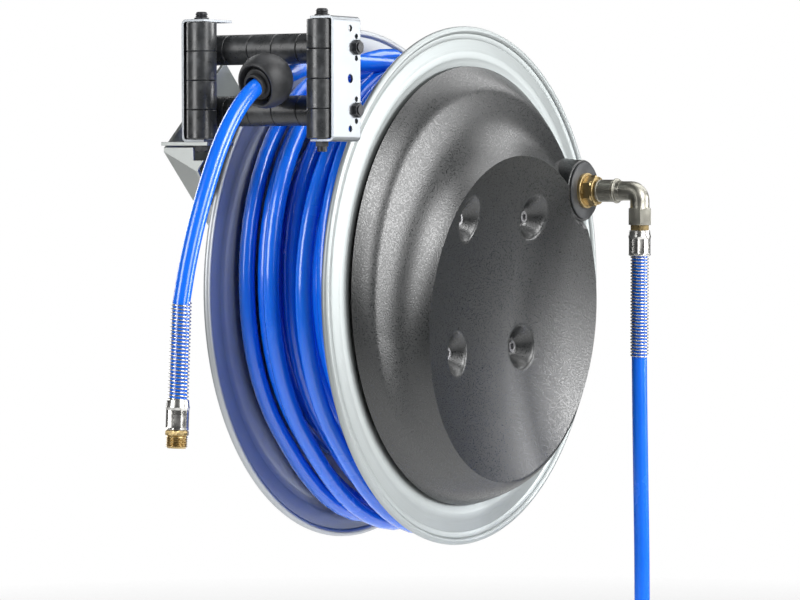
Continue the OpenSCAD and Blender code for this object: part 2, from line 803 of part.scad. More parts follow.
module ball_stop() color("#202224") at_ball() difference() {
    intersection() {
        sphere(r = ball_r, $fn = 64);
        translate([0, 0, -13]) cylinder(h = 30, r = 25);
    }
    translate([0, 0, -30]) cylinder(h = 60, r = hose_d / 2 + 0.8);
    translate([0, 0, -14]) cylinder(h = 9, r1 = 16.2, r2 = 14);
}

module stop_collar() color("#18191a") at_ball() difference() {
    union() {
        translate([0, 0, -10.5]) cylinder(h = 5.5, r = 12.6);
        translate([0, 0, -16]) cylinder(h = 5.5, r = 9.6);
    }
    translate([0, 0, -17]) cylinder(h = 13, r = hose_d / 2 + 0.8);
}

module delivery_spring_guard() color("silver") at_tip() difference() {
    translate([0, 0, -tip_guard_len]) cylinder(h = tip_guard_len, r = guard_r);
    translate([0, 0, -tip_guard_len - 1]) cylinder(h = tip_guard_len + 2, r = hose_d / 2);
}

module delivery_ferrule() color("lightgray") at_tip()
    translate([0, 0, -tip_guard_len - tip_ferrule_len]) cylinder(h = tip_ferrule_len, r = ferrule_r);

module delivery_nipple() color("goldenrod") at_tip() {
    hex_top = -tip_guard_len - tip_ferrule_len;
    difference() {
        union() {
            translate([0, 0, hex_top - tip_hex_len]) cylinder(h = tip_hex_len, r = 9.8, $fn = 6);
            translate([0, 0, hex_top - tip_hex_len - tip_thread_len]) cylinder(h = tip_thread_len, r = thread_r);
        }
        translate([0, 0, hex_top - 20]) cylinder(h = 18, r = 4.5);
    }
}

// --- inlet side ---

module inlet_swivel_body() color("silver") at_axle() difference() {
    union() {
        rod(swivel_x, elbow_join_x, 9.75, boss_at);
        rod(swivel_x + 12, swivel_x + 14, 10.8, boss_at);
    }
    rod(swivel_x - 1, swivel_x + 15, 6 + run_gap, boss_at);
    rod(swivel_x, elbow_join_x + 1, 3.5, boss_at);
}

module inlet_elbow() color("silver") at_axle() difference() {
    union() {
        rod(elbow_join_x, inlet_x, 7.5, boss_at);
        translate([inlet_x, boss_at[0], boss_at[1]]) sphere(r = 7.5);
        upright(inlet_nut_top, boss_at[1], 3.5, 7.5, [inlet_x, boss_at[0]]);
    }
    rod(elbow_join_x - 1, inlet_x, 3.5, boss_at);
    translate([inlet_x, boss_at[0], inlet_nut_top - 1]) cylinder(h = boss_at[1] - inlet_nut_top + 1, r = 3.5);
}

module inlet_nut() color("gainsboro") at_axle() difference() {
    translate([inlet_x, boss_at[0], inlet_nut_low])
        cylinder(h = inlet_nut_top - inlet_nut_low, r = 11, $fn = 6);
    translate([inlet_x, boss_at[0], inlet_nut_low - 1])
        cylinder(h = inlet_nut_top - inlet_nut_low + 2, r = 3.5);
}

module inlet_tail() color("goldenrod") at_axle()
    upright(inlet_tail_low, inlet_nut_low, 3.5, 8, [inlet_x, boss_at[0]]);

module inlet_ferrule() color("lightgray") at_axle()
    upright(inlet_ferrule_low, inlet_tail_low, 3.5, ferrule_r, [inlet_x, boss_at[0]]);

module inlet_spring_guard() color("silver") at_axle()
    upright(inlet_ferrule_low - guard_len, inlet_ferrule_low, hose_d / 2, guard_r, [inlet_x, boss_at[0]]);

module inlet_hose() color("dodgerblue") at_axle() swept(inlet_route, hose_d / 2);

module inlet_end_ferrule() color("lightgray") at_axle()
    upright(inlet_end - 22, inlet_end, 3.5, ferrule_r, [inlet_x, boss_at[0]]);

module inlet_end_nut() color("goldenrod") at_axle() difference() {
    translate([inlet_x, boss_at[0], inlet_end - 38]) cylinder(h = 16, r = 12.7, $fn = 6);
    translate([inlet_x, boss_at[0], inlet_end - 39]) cylinder(h = 13, r = 7.5);
    translate([inlet_x, boss_at[0], inlet_end - 39]) cylinder(h = 18, r = 3.5);
}

wall_bracket();
axle();
axle_washer();
axle_nut();
stator_plate();
feed_pipe();
axle_banjo();
cover();
cover_screws();
inlet_grommet();
inlet_bulkhead();
guide_arm();
arm_bolts();
guide_bracket_left();
guide_bracket_right();
vertical_pins();
vertical_pin_nuts();
horizontal_pins();
horizontal_pin_nuts();
roller_left();
roller_right();
roller_top();
roller_bottom();
near_disc();
far_disc();
drum_core();
hub_near();
hub_far();
bush_near();
bush_far();
disc_screws();
spring_case();
spring_case_lid();
power_spring();
ratchet_wheel();
swivel_housing();
swivel_seals();
outlet_pipe();
outlet_nut();
wound_hose();
ratchet_pawl();
pawl_pin();
pawl_spring();
delivery_hose();
ball_stop();
stop_collar();
delivery_spring_guard();
delivery_ferrule();
delivery_nipple();
inlet_swivel_body();
inlet_elbow();
inlet_nut();
inlet_tail();
inlet_ferrule();
inlet_spring_guard();
inlet_hose();
inlet_end_ferrule();
inlet_end_nut();
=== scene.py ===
"""A wall-mounted spring-rewind hose reel: the visible model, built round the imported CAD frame."""

import json
import math

import bmesh
import bpy
from mathutils import Matrix, Vector


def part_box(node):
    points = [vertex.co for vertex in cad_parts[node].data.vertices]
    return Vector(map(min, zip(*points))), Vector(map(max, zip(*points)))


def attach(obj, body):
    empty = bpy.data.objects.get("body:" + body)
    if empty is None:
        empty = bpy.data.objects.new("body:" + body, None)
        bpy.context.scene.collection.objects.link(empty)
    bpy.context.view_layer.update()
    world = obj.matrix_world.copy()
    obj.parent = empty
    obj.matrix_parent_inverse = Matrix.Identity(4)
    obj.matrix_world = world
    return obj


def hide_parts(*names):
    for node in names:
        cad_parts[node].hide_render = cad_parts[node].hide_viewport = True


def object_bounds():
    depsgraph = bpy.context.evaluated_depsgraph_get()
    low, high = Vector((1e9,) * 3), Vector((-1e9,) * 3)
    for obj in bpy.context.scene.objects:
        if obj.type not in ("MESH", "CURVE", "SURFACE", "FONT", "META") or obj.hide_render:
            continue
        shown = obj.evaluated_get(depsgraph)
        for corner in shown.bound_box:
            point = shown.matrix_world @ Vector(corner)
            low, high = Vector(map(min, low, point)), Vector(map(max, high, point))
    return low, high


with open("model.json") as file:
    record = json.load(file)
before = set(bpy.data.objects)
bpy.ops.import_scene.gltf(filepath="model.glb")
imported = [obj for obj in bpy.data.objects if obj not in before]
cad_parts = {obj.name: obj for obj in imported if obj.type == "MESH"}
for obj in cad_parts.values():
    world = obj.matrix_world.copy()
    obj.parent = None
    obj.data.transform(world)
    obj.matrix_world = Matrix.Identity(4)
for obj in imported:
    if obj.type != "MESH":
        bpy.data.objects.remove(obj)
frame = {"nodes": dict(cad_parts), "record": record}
cad_low, cad_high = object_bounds()

# ---------------------------------------------------------------- sizes, in millimetres

MM = 0.001


def middle(node):
    """Centre of a CAD node's box, in metres."""
    low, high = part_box(node)
    return (Vector(low) + Vector(high)) / 2


def span(node, axis):
    """Length of a CAD node's box along one axis, in millimetres."""
    low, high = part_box(node)
    return (high[axis] - low[axis]) / MM


# The drum: the origin that every piece is placed from is the axle, half way between the discs
AXLE = (middle("near_disc") + middle("far_disc")) / 2
DISC_R = span("near_disc", 2) / 2
DISC_IN = 57.0  # inner face of each disc, from the middle plane
SHEET = 1.5
BEAD_R = 3.2
RIB_R = 196.0
HUB_R = 24.0

# The hose
HOSE_D = 13.5
HOSE_R = HOSE_D / 2
CORE_R = span("drum_core", 2) / 2
FIRST_R = CORE_R + HOSE_R + 0.3  # radius of the first layer, just clear of the core
HALF_PACK = 49.0  # half the width of the layers, between the hose's centrelines
LAYER = 13.6  # from one layer to the next
FIRST_TURNS, SECOND_TURNS = 7.5, 7
TURN_POINTS = 60
# Outer turns, where each one stands at the front of the drum: place along the axle and radius
OUTER_TURNS = [
    (45, 172), (30.5, 177), (-12, 163), (-33, 169), (-46.5, 177), (-18.5, 182), (14, 184),
]
CROSS_FROM = 195.0  # angle at which an outer turn starts to cross to the next one
TOP_STAND = 14.0  # how far the outer turns stand off at the top, in front
BACK_STAND = 9.0  # how far they stand off at the top, behind
SAG = 26.0  # how far they hang below the drum

# The cover: an outer circle lofted to an offset, tilted ridge, with a dish inside the ridge
COVER_X = 61.9
COVER_R = 186.0
COVER_WALL = 2.7
RIDGE_R = 138.5
RIDGE_Y, RIDGE_Z = 14.5, -28.0
RIDGE_X = 97.0
RIDGE_SLOPE = 0.042
DISH_DEPTH = 20.0
SHOULDER_END = 0.3
SHOULDER_RISE = 0.27
SLOPE_RISE = 0.3
SWEEP_POWER = 3.2
POCKET_HALF = 56.0
POCKET_Y, POCKET_Z = -2.0, 2.0
POCKET_MOUTH = 18.5
POCKET_FLOOR = 8.5
POCKET_DEPTH = 13.5
POCKET_LIP = 0.8
BOSS_Y, BOSS_Z = 132.0, 80.0
BOSS_R = 27.0
BOSS_X = 95.5
SEAT_DROP = 0.6  # how far the skin lies below the boss's face round the grommet

# Inlet fittings, along the boss's axis and then down
HEX_X = 100.5
SWIVEL_X = 110.8
ELBOW_X = 134.0
INLET_X = 151.5
NUT_TOP, NUT_LOW = 65.0, 50.5
TAIL_LOW = 46.0
FERRULE_LOW = 24.0
GUARD_LEN = 88.0
INLET_END = -576.0
BEND_R = 8.4  # of the elbow: its section and its bend alike

# Delivery end
BALL_AT = (20.6, -245.5, 169.4)
BALL_R = 21.8
TIP_AT = (11.8, -345.5, -2.0)
TIP_TILT = -3.5
TIP_GUARD = 75.0
TIP_FERRULE = 23.0
TIP_HEX = 3.5
TIP_THREAD = 10.0

# Guide
PIN_FRONT_Y = -230.0
PIN_R = 3.95
GUIDE_LOW, GUIDE_HIGH = 121.5, 220.0

DELIVERY_ROUTE = [
    (16, 0, 185.5), (16, -30, 186), (16, -60, 186.5), (15.5, -92, 187), (14.5, -125, 187),
    (13.5, -155, 185.5), (13.5, -182, 181), (15, -206, 175.2), (18, -228, 171.8),
    (21, -246, 169), (21, -262, 162.5), (20, -277, 151), (18.5, -291, 135), (17, -304, 114),
    (15.5, -317, 87), (14, -329, 57), (12.7, -338.5, 27), (11.8, -345.5, -2),
]

INLET_ROUTE = [
    (INLET_X, BOSS_Y, FERRULE_LOW), (INLET_X, BOSS_Y, -20), (INLET_X, BOSS_Y, -66),
    (152.3, BOSS_Y, -120), (153.5, BOSS_Y, -180), (154.6, BOSS_Y, -240), (155, BOSS_Y, -300),
    (154.6, BOSS_Y, -370), (153.4, BOSS_Y, -440), (152, BOSS_Y, -510), (INLET_X, BOSS_Y, INLET_END),
]

# ---------------------------------------------------------------- placing and mesh helpers


def at(x, y, z):
    """A point given from the axle in millimetres, in the shared frame in metres."""
    return AXLE + Vector((x, y, z)) * MM


def place(x=0.0, y=0.0, z=0.0, turn_x=0.0, turn_y=0.0):
    """Matrix from a piece's own millimetres to the shared frame."""
    turn = (
        Matrix.Rotation(math.radians(turn_y), 4, "Y")
        @ Matrix.Rotation(math.radians(turn_x), 4, "X")
    )
    return Matrix.Translation(at(x, y, z)) @ turn @ Matrix.Scale(MM, 4)


def along_x(x=0.0, y=0.0, z=0.0):
    """Matrix for a piece whose own Z runs along the axle."""
    return place(x, y, z, turn_y=90)


def smoothstep(u):
    """Ease from 0 to 1 as u goes from 0 to 1."""
    u = min(max(u, 0.0), 1.0)
    return u * u * (3 - 2 * u)


def add_object(name, data):
    """A new object in the scene."""
    made = bpy.data.objects.new(name, data)
    bpy.context.scene.collection.objects.link(made)
    return made


def mesh_object(bm, name):
    """Turn a bmesh into an object and free it."""
    mesh = bpy.data.meshes.new(name)
    bm.to_mesh(mesh)
    bm.free()
    return add_object(name, mesh)


def finish_mesh(bm, name, matrix, sharp=32.0):
    """Turn a bmesh in its own millimetres into a smooth object, sharp where faces meet steeply."""
    bmesh.ops.remove_doubles(bm, verts=bm.verts, dist=1e-4)
    bmesh.ops.recalc_face_normals(bm, faces=bm.faces)
    for face in bm.faces:
        face.smooth = True
    for edge in bm.edges:
        if len(edge.link_faces) == 2 and edge.calc_face_angle(0) > math.radians(sharp):
            edge.smooth = False
    bm.transform(matrix)
    return mesh_object(bm, name)


def add_ring(bm, radius, height, sides):
    """A ring of vertices round Z; a single vertex if it has no radius."""
    if radius <= 1e-6:
        return [bm.verts.new((0, 0, height))]
    steps = [2 * math.pi * k / sides for k in range(sides)]
    return [bm.verts.new((radius * math.cos(a), radius * math.sin(a), height)) for a in steps]


def join_rings(bm, low, high):
    """Faces between two rings, either of which may be a single vertex."""
    count = max(len(low), len(high))
    for k in range(count):
        j = (k + 1) % count
        corners = [low[k % len(low)], low[j % len(low)], high[j % len(high)], high[k % len(high)]]
        unique = list(dict.fromkeys(corners))
        if len(unique) > 2:
            bm.faces.new(unique)


def lathe_into(bm, profile, sides, closed):
    """Turn a profile of (radius, height) points round Z."""
    rings = [add_ring(bm, r, h, sides) for r, h in profile]
    pairs = zip(rings, rings[1:] + rings[:1]) if closed else zip(rings, rings[1:])
    for low, high in pairs:
        if len(low) > 1 or len(high) > 1:
            join_rings(bm, low, high)


def lathe(name, profile, matrix, sides=96, closed=True, sharp=32.0):
    """A turned object from a profile of (radius, height) points."""
    bm = bmesh.new()
    lathe_into(bm, profile, sides, closed)
    return finish_mesh(bm, name, matrix, sharp)


def arc(centre_r, centre_h, radius, start, end, steps=8):
    """Points of an arc in a profile, angles in degrees from the outward radius towards +Z."""
    angles = [math.radians(start + (end - start) * k / steps) for k in range(steps + 1)]
    return [(centre_r + radius * math.cos(a), centre_h + radius * math.sin(a)) for a in angles]


def rounded_block(outer, inner, low, high, edge):
    """Closed profile of a bush, with round edges on its outside."""
    return (
        [(inner, low)]
        + arc(outer - edge, low + edge, edge, -90, 0, 4)
        + arc(outer - edge, high - edge, edge, 0, 90, 4)
        + [(inner, high)]
    )


def nut(name, corner_r, bore_r, low, high, matrix, chamfer=0.9):
    """A hexagon nut: its corners are cut back as a cone towards both faces."""
    bm = bmesh.new()
    sides, steps = 6, 8
    flat_r = corner_r * math.cos(math.pi / sides)
    face_r = corner_r - chamfer * 1.7
    count = sides * steps

    def outline(height, limit):
        ring = []
        for k in range(count):
            a = 2 * math.pi * k / count
            local = (a + math.pi / sides) % (2 * math.pi / sides) - math.pi / sides
            hexagon = flat_r / math.cos(abs(abs(local) - math.pi / sides))
            r = min(hexagon, limit)
            ring.append(bm.verts.new((r * math.cos(a), r * math.sin(a), height)))
        return ring

    rings = [
        add_ring(bm, bore_r, low, count),
        outline(low, face_r),
        outline(low + chamfer, corner_r),
        outline(high - chamfer, corner_r),
        outline(high, face_r),
        add_ring(bm, bore_r, high, count),
    ]
    for one, two in zip(rings, rings[1:] + rings[:1]):
        join_rings(bm, one, two)
    return finish_mesh(bm, name, matrix, 20)


def catmull(route, per_span):
    """A smooth line through given points."""
    points = [Vector(p) for p in route]
    last = len(points) - 1
    line = []
    for i in range(last):
        p0, p1 = points[max(i - 1, 0)], points[i]
        p2, p3 = points[i + 1], points[min(i + 2, last)]
        for k in range(per_span):
            t = k / per_span
            line.append(
                0.5
                * (
                    2 * p1
                    + (p2 - p0) * t
                    + (2 * p0 - 5 * p1 + 4 * p2 - p3) * t * t
                    + (3 * p1 - p0 - 3 * p2 + p3) * t * t * t
                )
            )
    line.append(points[last])
    return line


def round_wire(name, points, radius, resolution):
    """A curve with a round section through points in the shared frame."""
    data = bpy.data.curves.new(name, "CURVE")
    data.dimensions = "3D"
    data.bevel_depth = radius * MM
    data.bevel_resolution = resolution
    data.use_fill_caps = True
    spline = data.splines.new("POLY")
    spline.points.add(len(points) - 1)
    for point, p in zip(spline.points, points):
        point.co = (*p, 1.0)
    return add_object(name, data)


def hose_along(name, line, resolution):
    """A hose through points given from the axle in millimetres."""
    return round_wire(name, [at(*p) for p in line], HOSE_R, resolution)


def merge(name, parts):
    """Join mesh objects into one piece."""
    bm = bmesh.new()
    for part in parts:
        bm.from_mesh(part.data)
        bpy.data.objects.remove(part)
    return mesh_object(bm, name)


# ---------------------------------------------------------------- camera


def add_camera():
    """Longish lens, 32.5 degrees round from the front and a little above."""
    azimuth, elevation, distance = math.radians(32.5), math.radians(2.3), 2.7
    back = Vector((
        math.sin(azimuth) * math.cos(elevation),
        -math.cos(azimuth) * math.cos(elevation),
        math.sin(elevation),
    ))
    data = bpy.data.cameras.new("camera")
    data.sensor_width = 36
    data.lens = 141.3
    data.shift_x = -0.01375
    data.shift_y = -0.0195
    camera = add_object("camera", data)
    camera.location = AXLE + back * distance
    camera.rotation_euler = back.to_track_quat("Z", "Y").to_euler()
    bpy.context.scene.camera = camera


add_camera()

# ---------------------------------------------------------------- materials


class Shade:
    """A principled material and short ways to add nodes to it."""

    def __init__(self, name, color, metallic=0.0, roughness=0.5):
        self.material = bpy.data.materials.new(name)
        self.material.use_nodes = True
        self.tree = self.material.node_tree
        self.shader = self.tree.nodes["Principled BSDF"]
        self.set("Base Color", (*color, 1.0))
        self.set("Metallic", metallic)
        self.set("Roughness", roughness)
        self.color = color
        self.coords = self.tree.nodes.new("ShaderNodeTexCoord").outputs["Object"]
        self.normal = None

    def set(self, socket, value):
        self.shader.inputs[socket].default_value = value

    def node(self, kind, **inputs):
        made = self.tree.nodes.new(kind)
        for key, value in inputs.items():
            socket = made.inputs[key.replace("_", " ")]
            if hasattr(value, "is_output"):
                self.tree.links.new(value, socket)
            else:
                socket.default_value = value
        return made

    def link(self, output, socket):
        self.tree.links.new(output, self.shader.inputs[socket])

    def stretched(self, scale):
        """Coordinates stretched along the axes, for brushed marks."""
        made = self.node("ShaderNodeMapping", Vector=self.coords)
        made.inputs["Scale"].default_value = scale
        return made.outputs["Vector"]

    def noise(self, scale, detail=3.0, rough=0.55, vector=None):
        made = self.node(
            "ShaderNodeTexNoise",
            Vector=vector or self.coords, Scale=scale, Detail=detail, Roughness=rough,
        )
        return made.outputs["Fac"]

    def ramp(self, value, low, high, low_value, high_value):
        """Map a value from one range to another."""
        made = self.node("ShaderNodeMapRange", Value=value)
        made.inputs["From Min"].default_value = low
        made.inputs["From Max"].default_value = high
        made.inputs["To Min"].default_value = low_value
        made.inputs["To Max"].default_value = high_value
        return made.outputs["Result"]

    def tint(self, value, dark, light):
        """Base colour between two shades of the material's colour."""
        made = self.tree.nodes.new("ShaderNodeMix")
        made.data_type = "RGBA"
        self.tree.links.new(value, made.inputs["Factor"])
        made.inputs["A"].default_value = (*[c * dark for c in self.color], 1.0)
        made.inputs["B"].default_value = (*[min(1.0, c * light) for c in self.color], 1.0)
        self.link(made.outputs["Result"], "Base Color")

    def bump(self, height, strength, distance):
        """Add a bump over whatever normal there is."""
        made = self.node("ShaderNodeBump", Height=height, Strength=strength, Distance=distance)
        if self.normal is not None:
            self.tree.links.new(self.normal, made.inputs["Normal"])
        self.normal = made.outputs["Normal"]
        self.link(self.normal, "Normal")

    def soft_edges(self, radius):
        """Round the look of a sharp CAD edge."""
        made = self.node("ShaderNodeBevel", Radius=radius)
        made.samples = 4
        self.normal = made.outputs["Normal"]
        self.link(self.normal, "Normal")


def brushed_sheet(name, scale, color, rough):
    """Brushed steel sheet: fine marks along one axis and faint cloudy wear."""
    shade = Shade(name, color, 1.0)
    shade.soft_edges(0.0006)
    marks = shade.noise(1.0, 4.0, 0.6, shade.stretched(scale))
    clouds = shade.noise(35.0, 3.0)
    shade.link(shade.ramp(marks, 0.3, 0.7, *rough), "Roughness")
    shade.tint(clouds, 0.92, 1.05)
    shade.bump(marks, 0.08, 0.0001)
    return shade.material


def spun_steel(name, color, rough):
    """Disc sheet with faint marks that run round the axle."""
    shade = Shade(name, color, 1.0)
    centre = shade.node("ShaderNodeVectorMath", Vector=shade.coords)
    centre.operation = "SUBTRACT"
    centre.inputs[1].default_value = (AXLE.x, AXLE.y, AXLE.z)
    flat = shade.node("ShaderNodeVectorMath", Vector=centre.outputs[0])
    flat.operation = "MULTIPLY"
    flat.inputs[1].default_value = (0.0, 1.0, 1.0)
    radius = shade.node("ShaderNodeVectorMath", Vector=flat.outputs[0])
    radius.operation = "LENGTH"
    rings = shade.tree.nodes.new("ShaderNodeTexNoise")
    rings.noise_dimensions = "1D"
    shade.tree.links.new(radius.outputs["Value"], rings.inputs["W"])
    rings.inputs["Scale"].default_value = 900.0
    rings.inputs["Detail"].default_value = 4.0
    clouds = shade.noise(18.0, 3.0)
    fine = shade.noise(1400.0, 2.0)
    shade.link(shade.ramp(rings.outputs["Fac"], 0.3, 0.7, *rough), "Roughness")
    shade.tint(clouds, 0.94, 1.04)
    shade.bump(rings.outputs["Fac"], 0.05, 0.0001)
    shade.bump(fine, 0.03, 0.0001)
    return shade.material


def turned_metal(name, color, rough=(0.16, 0.3)):
    """Turned or plated metal: small stains, fine scratches and rubbed edges."""
    shade = Shade(name, color, 1.0)
    shade.soft_edges(0.0004)
    stains = shade.noise(160.0, 5.0, 0.6)
    scratches = shade.noise(1.0, 3.0, 0.6, shade.stretched((900.0, 900.0, 3500.0)))
    shade.link(shade.ramp(stains, 0.35, 0.65, *rough), "Roughness")
    shade.tint(stains, 0.8, 1.06)
    shade.bump(scratches, 0.12, 0.0001)
    return shade.material


def black_metal(name):
    """Black oxide: dull, with worn lighter specks."""
    shade = Shade(name, (0.03, 0.031, 0.034), 0.35)
    shade.soft_edges(0.0004)
    wear = shade.noise(420.0, 5.0, 0.6)
    shade.link(shade.ramp(wear, 0.3, 0.7, 0.3, 0.5), "Roughness")
    shade.tint(shade.ramp(wear, 0.55, 0.75, 0.0, 1.0), 1.0, 4.0)
    shade.bump(wear, 0.3, 0.0002)
    return shade.material


def grained_plastic(name):
    """Moulded black plastic with a fine leather grain that catches the light."""
    shade = Shade(name, (0.006, 0.0075, 0.008))
    shade.set("Specular IOR Level", 0.95)
    cells = shade.tree.nodes.new("ShaderNodeTexVoronoi")
    cells.feature = "SMOOTH_F1"
    cells.inputs["Scale"].default_value = 720.0
    cells.inputs["Smoothness"].default_value = 0.6
    warp = shade.node("ShaderNodeTexNoise", Vector=shade.coords, Scale=420.0, Detail=2.0)
    push = shade.node("ShaderNodeVectorMath", Vector=warp.outputs["Color"])
    push.operation = "SCALE"
    push.inputs["Scale"].default_value = 0.0018
    bent = shade.node("ShaderNodeVectorMath", Vector=shade.coords)
    shade.tree.links.new(push.outputs[0], bent.inputs[1])
    shade.tree.links.new(bent.outputs[0], cells.inputs["Vector"])
    pebbles = shade.noise(850.0, 3.0, 0.6)
    shade.link(shade.ramp(cells.outputs["Distance"], 0.15, 0.6, 0.22, 0.4), "Roughness")
    shade.tint(shade.ramp(cells.outputs["Distance"], 0.1, 0.7, 1.0, 0.0), 0.75, 1.3)
    shade.bump(cells.outputs["Distance"], 0.16, 0.0005)
    shade.bump(pebbles, 0.1, 0.0004)
    return shade.material


def satin_nylon(name):
    """Black roller nylon with scuffs and fine turning marks."""
    shade = Shade(name, (0.034, 0.036, 0.038))
    shade.soft_edges(0.0004)
    shade.set("Specular IOR Level", 0.7)
    scuffs = shade.noise(120.0, 6.0, 0.65)
    fine = shade.noise(1500.0, 3.0)
    shade.link(shade.ramp(scuffs, 0.35, 0.7, 0.24, 0.44), "Roughness")
    shade.tint(shade.ramp(scuffs, 0.5, 0.8, 0.0, 1.0), 0.85, 2.2)
    shade.bump(scuffs, 0.15, 0.0003)
    shade.bump(fine, 0.1, 0.0001)
    return shade.material


def black_rubber(name, color=(0.028, 0.029, 0.031), rough=(0.4, 0.6)):
    """Moulded rubber: soft sheen, dusty patches and a fine pebble."""
    shade = Shade(name, color)
    dust = shade.noise(60.0, 5.0, 0.6)
    pebble = shade.noise(1300.0, 3.0)
    shade.link(shade.ramp(dust, 0.3, 0.7, *rough), "Roughness")
    shade.tint(shade.ramp(dust, 0.45, 0.75, 0.0, 1.0), 0.9, 2.0)
    shade.bump(pebble, 0.25, 0.0002)
    return shade.material


def hose_plastic(name):
    """Glossy, slightly clear blue polyurethane hose, with a faint extrusion ripple."""
    shade = Shade(name, (0.004, 0.165, 0.88))
    shade.set("Specular IOR Level", 0.62)
    shade.set("Subsurface Weight", 0.25)
    shade.set("Subsurface Scale", 0.004)
    shade.set("Subsurface Radius", (0.2, 0.5, 1.0))
    shade.set("Coat Weight", 0.5)
    shade.set("Coat Roughness", 0.08)
    patches = shade.noise(22.0, 3.0)
    ripple = shade.noise(420.0, 2.0)
    shade.link(shade.ramp(patches, 0.3, 0.7, 0.2, 0.3), "Roughness")
    shade.tint(patches, 0.86, 1.12)
    shade.bump(ripple, 0.1, 0.0004)
    return shade.material


def painted_steel(name, color):
    """Painted pressed steel with a light orange peel and edge wear."""
    shade = Shade(name, color)
    shade.soft_edges(0.0005)
    peel = shade.noise(700.0, 2.0)
    wear = shade.noise(45.0, 5.0, 0.6)
    shade.link(shade.ramp(wear, 0.3, 0.7, 0.35, 0.5), "Roughness")
    shade.tint(wear, 0.85, 1.1)
    shade.bump(peel, 0.12, 0.0002)
    return shade.material


DISC_STEEL = spun_steel("disc_steel", (0.44, 0.47, 0.47), (0.48, 0.56))
FAR_DISC_STEEL = spun_steel("far_disc_steel", (0.48, 0.5, 0.52), (0.46, 0.54))
SHEET_STEEL = brushed_sheet(
    "bracket_steel", (300.0, 300.0, 5200.0), (0.34, 0.36, 0.38), (0.34, 0.46)
)
PLATE_STEEL = brushed_sheet(
    "plate_steel", (1200.0, 1200.0, 1200.0), (0.42, 0.44, 0.43), (0.34, 0.5)
)
BRIGHT_STEEL = turned_metal("bright_steel", (0.72, 0.72, 0.71))
SCREW_STEEL = turned_metal("screw_steel", (0.34, 0.34, 0.35), (0.3, 0.45))
BOLT_BLACK = black_metal("bolt_black")
COVER_BLACK = grained_plastic("cover_black")
ROLLER_BLACK = satin_nylon("roller_black")
BALL_BLACK = black_rubber("ball_black")
SOFT_BLACK = black_rubber("soft_black", (0.035, 0.037, 0.04), (0.32, 0.5))
HOSE_BLUE = hose_plastic("hose_blue_gloss")
BRASS = turned_metal("brass_turned", (0.52, 0.39, 0.19), (0.24, 0.38))
NICKEL = turned_metal("nickel_plate", (0.4, 0.39, 0.34), (0.34, 0.44))
WIRE_STEEL = turned_metal("wire_steel", (0.66, 0.65, 0.62), (0.18, 0.3))
FERRULE_STEEL = turned_metal("ferrule_steel", (0.72, 0.71, 0.68), (0.2, 0.34))
BRONZE = turned_metal("bronze_bush", (0.5, 0.3, 0.14), (0.3, 0.45))
BLUED_STEEL = turned_metal("blued_spring", (0.22, 0.26, 0.36), (0.22, 0.35))
GREY_PAINT = painted_steel("grey_paint", (0.3, 0.31, 0.32))

SLOT_LOOK = {
    "stainless": SHEET_STEEL,
    "zinc_plate": PLATE_STEEL,
    "bright_steel": BRIGHT_STEEL,
    "black_bolt": BOLT_BLACK,
    "screw_steel": SCREW_STEEL,
    "cover_plastic": COVER_BLACK,
    "roller_plastic": ROLLER_BLACK,
    "grommet_rubber": SOFT_BLACK,
    "ball_rubber": BALL_BLACK,
    "hose_blue": HOSE_BLUE,
    "brass": BRASS,
    "nickel": NICKEL,
    "guard_wire": WIRE_STEEL,
    "ferrule_steel": FERRULE_STEEL,
    "bronze": BRONZE,
    "spring_steel": BLUED_STEEL,
    "pressed_steel": GREY_PAINT,
}


def dress_nodes():
    """Give every CAD node the look of its material slot."""
    for entry in frame["record"]["subparts"]:
        shown = frame["nodes"][entry["node"]]
        for k in range(len(shown.material_slots)):
            shown.material_slots[k].material = SLOT_LOOK[entry["material_slot"]]
        if not shown.material_slots:
            shown.data.materials.append(SLOT_LOOK[entry["material_slot"]])


def piece_of(made, body, slot, *nodes):
    """Finish a new piece: its look, the body that it rides on and the CAD nodes it stands for."""
    made.data.materials.clear()
    made.data.materials.append(SLOT_LOOK[slot])
    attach(made, body)
    if nodes:
        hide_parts(*nodes)
    return made


dress_nodes()

# ---------------------------------------------------------------- hoses

FREE_START = DELIVERY_ROUTE[0]


def slack(angle):
    """How far a loose turn stands off at the top and below, by angle from the top in degrees."""
    front = TOP_STAND * smoothstep((100 - angle) / 75)
    back = BACK_STAND * smoothstep((angle - 290) / 60)
    sag_in = SAG * smoothstep((angle - 132) / 56)
    sag_out = SAG * smoothstep((290 - angle) / 80)
    return front if angle < 180 else back, sag_in if angle < 200 else sag_out


def tight_layers():
    """The two tight layers, as places along the axle, angles and radii."""
    line = []
    for k in range(int(FIRST_TURNS * TURN_POINTS)):
        u = k / (FIRST_TURNS * TURN_POINTS)
        line.append((HALF_PACK - 2 * HALF_PACK * u, 180 + 360 * FIRST_TURNS * u, FIRST_R))
    for k in range(SECOND_TURNS * TURN_POINTS):
        u = k / (SECOND_TURNS * TURN_POINTS)
        x = -HALF_PACK + (OUTER_TURNS[0][0] + HALF_PACK) * u
        line.append((x, 360 * SECOND_TURNS * u, FIRST_R + LAYER * smoothstep(2 * SECOND_TURNS * u)))
    return line


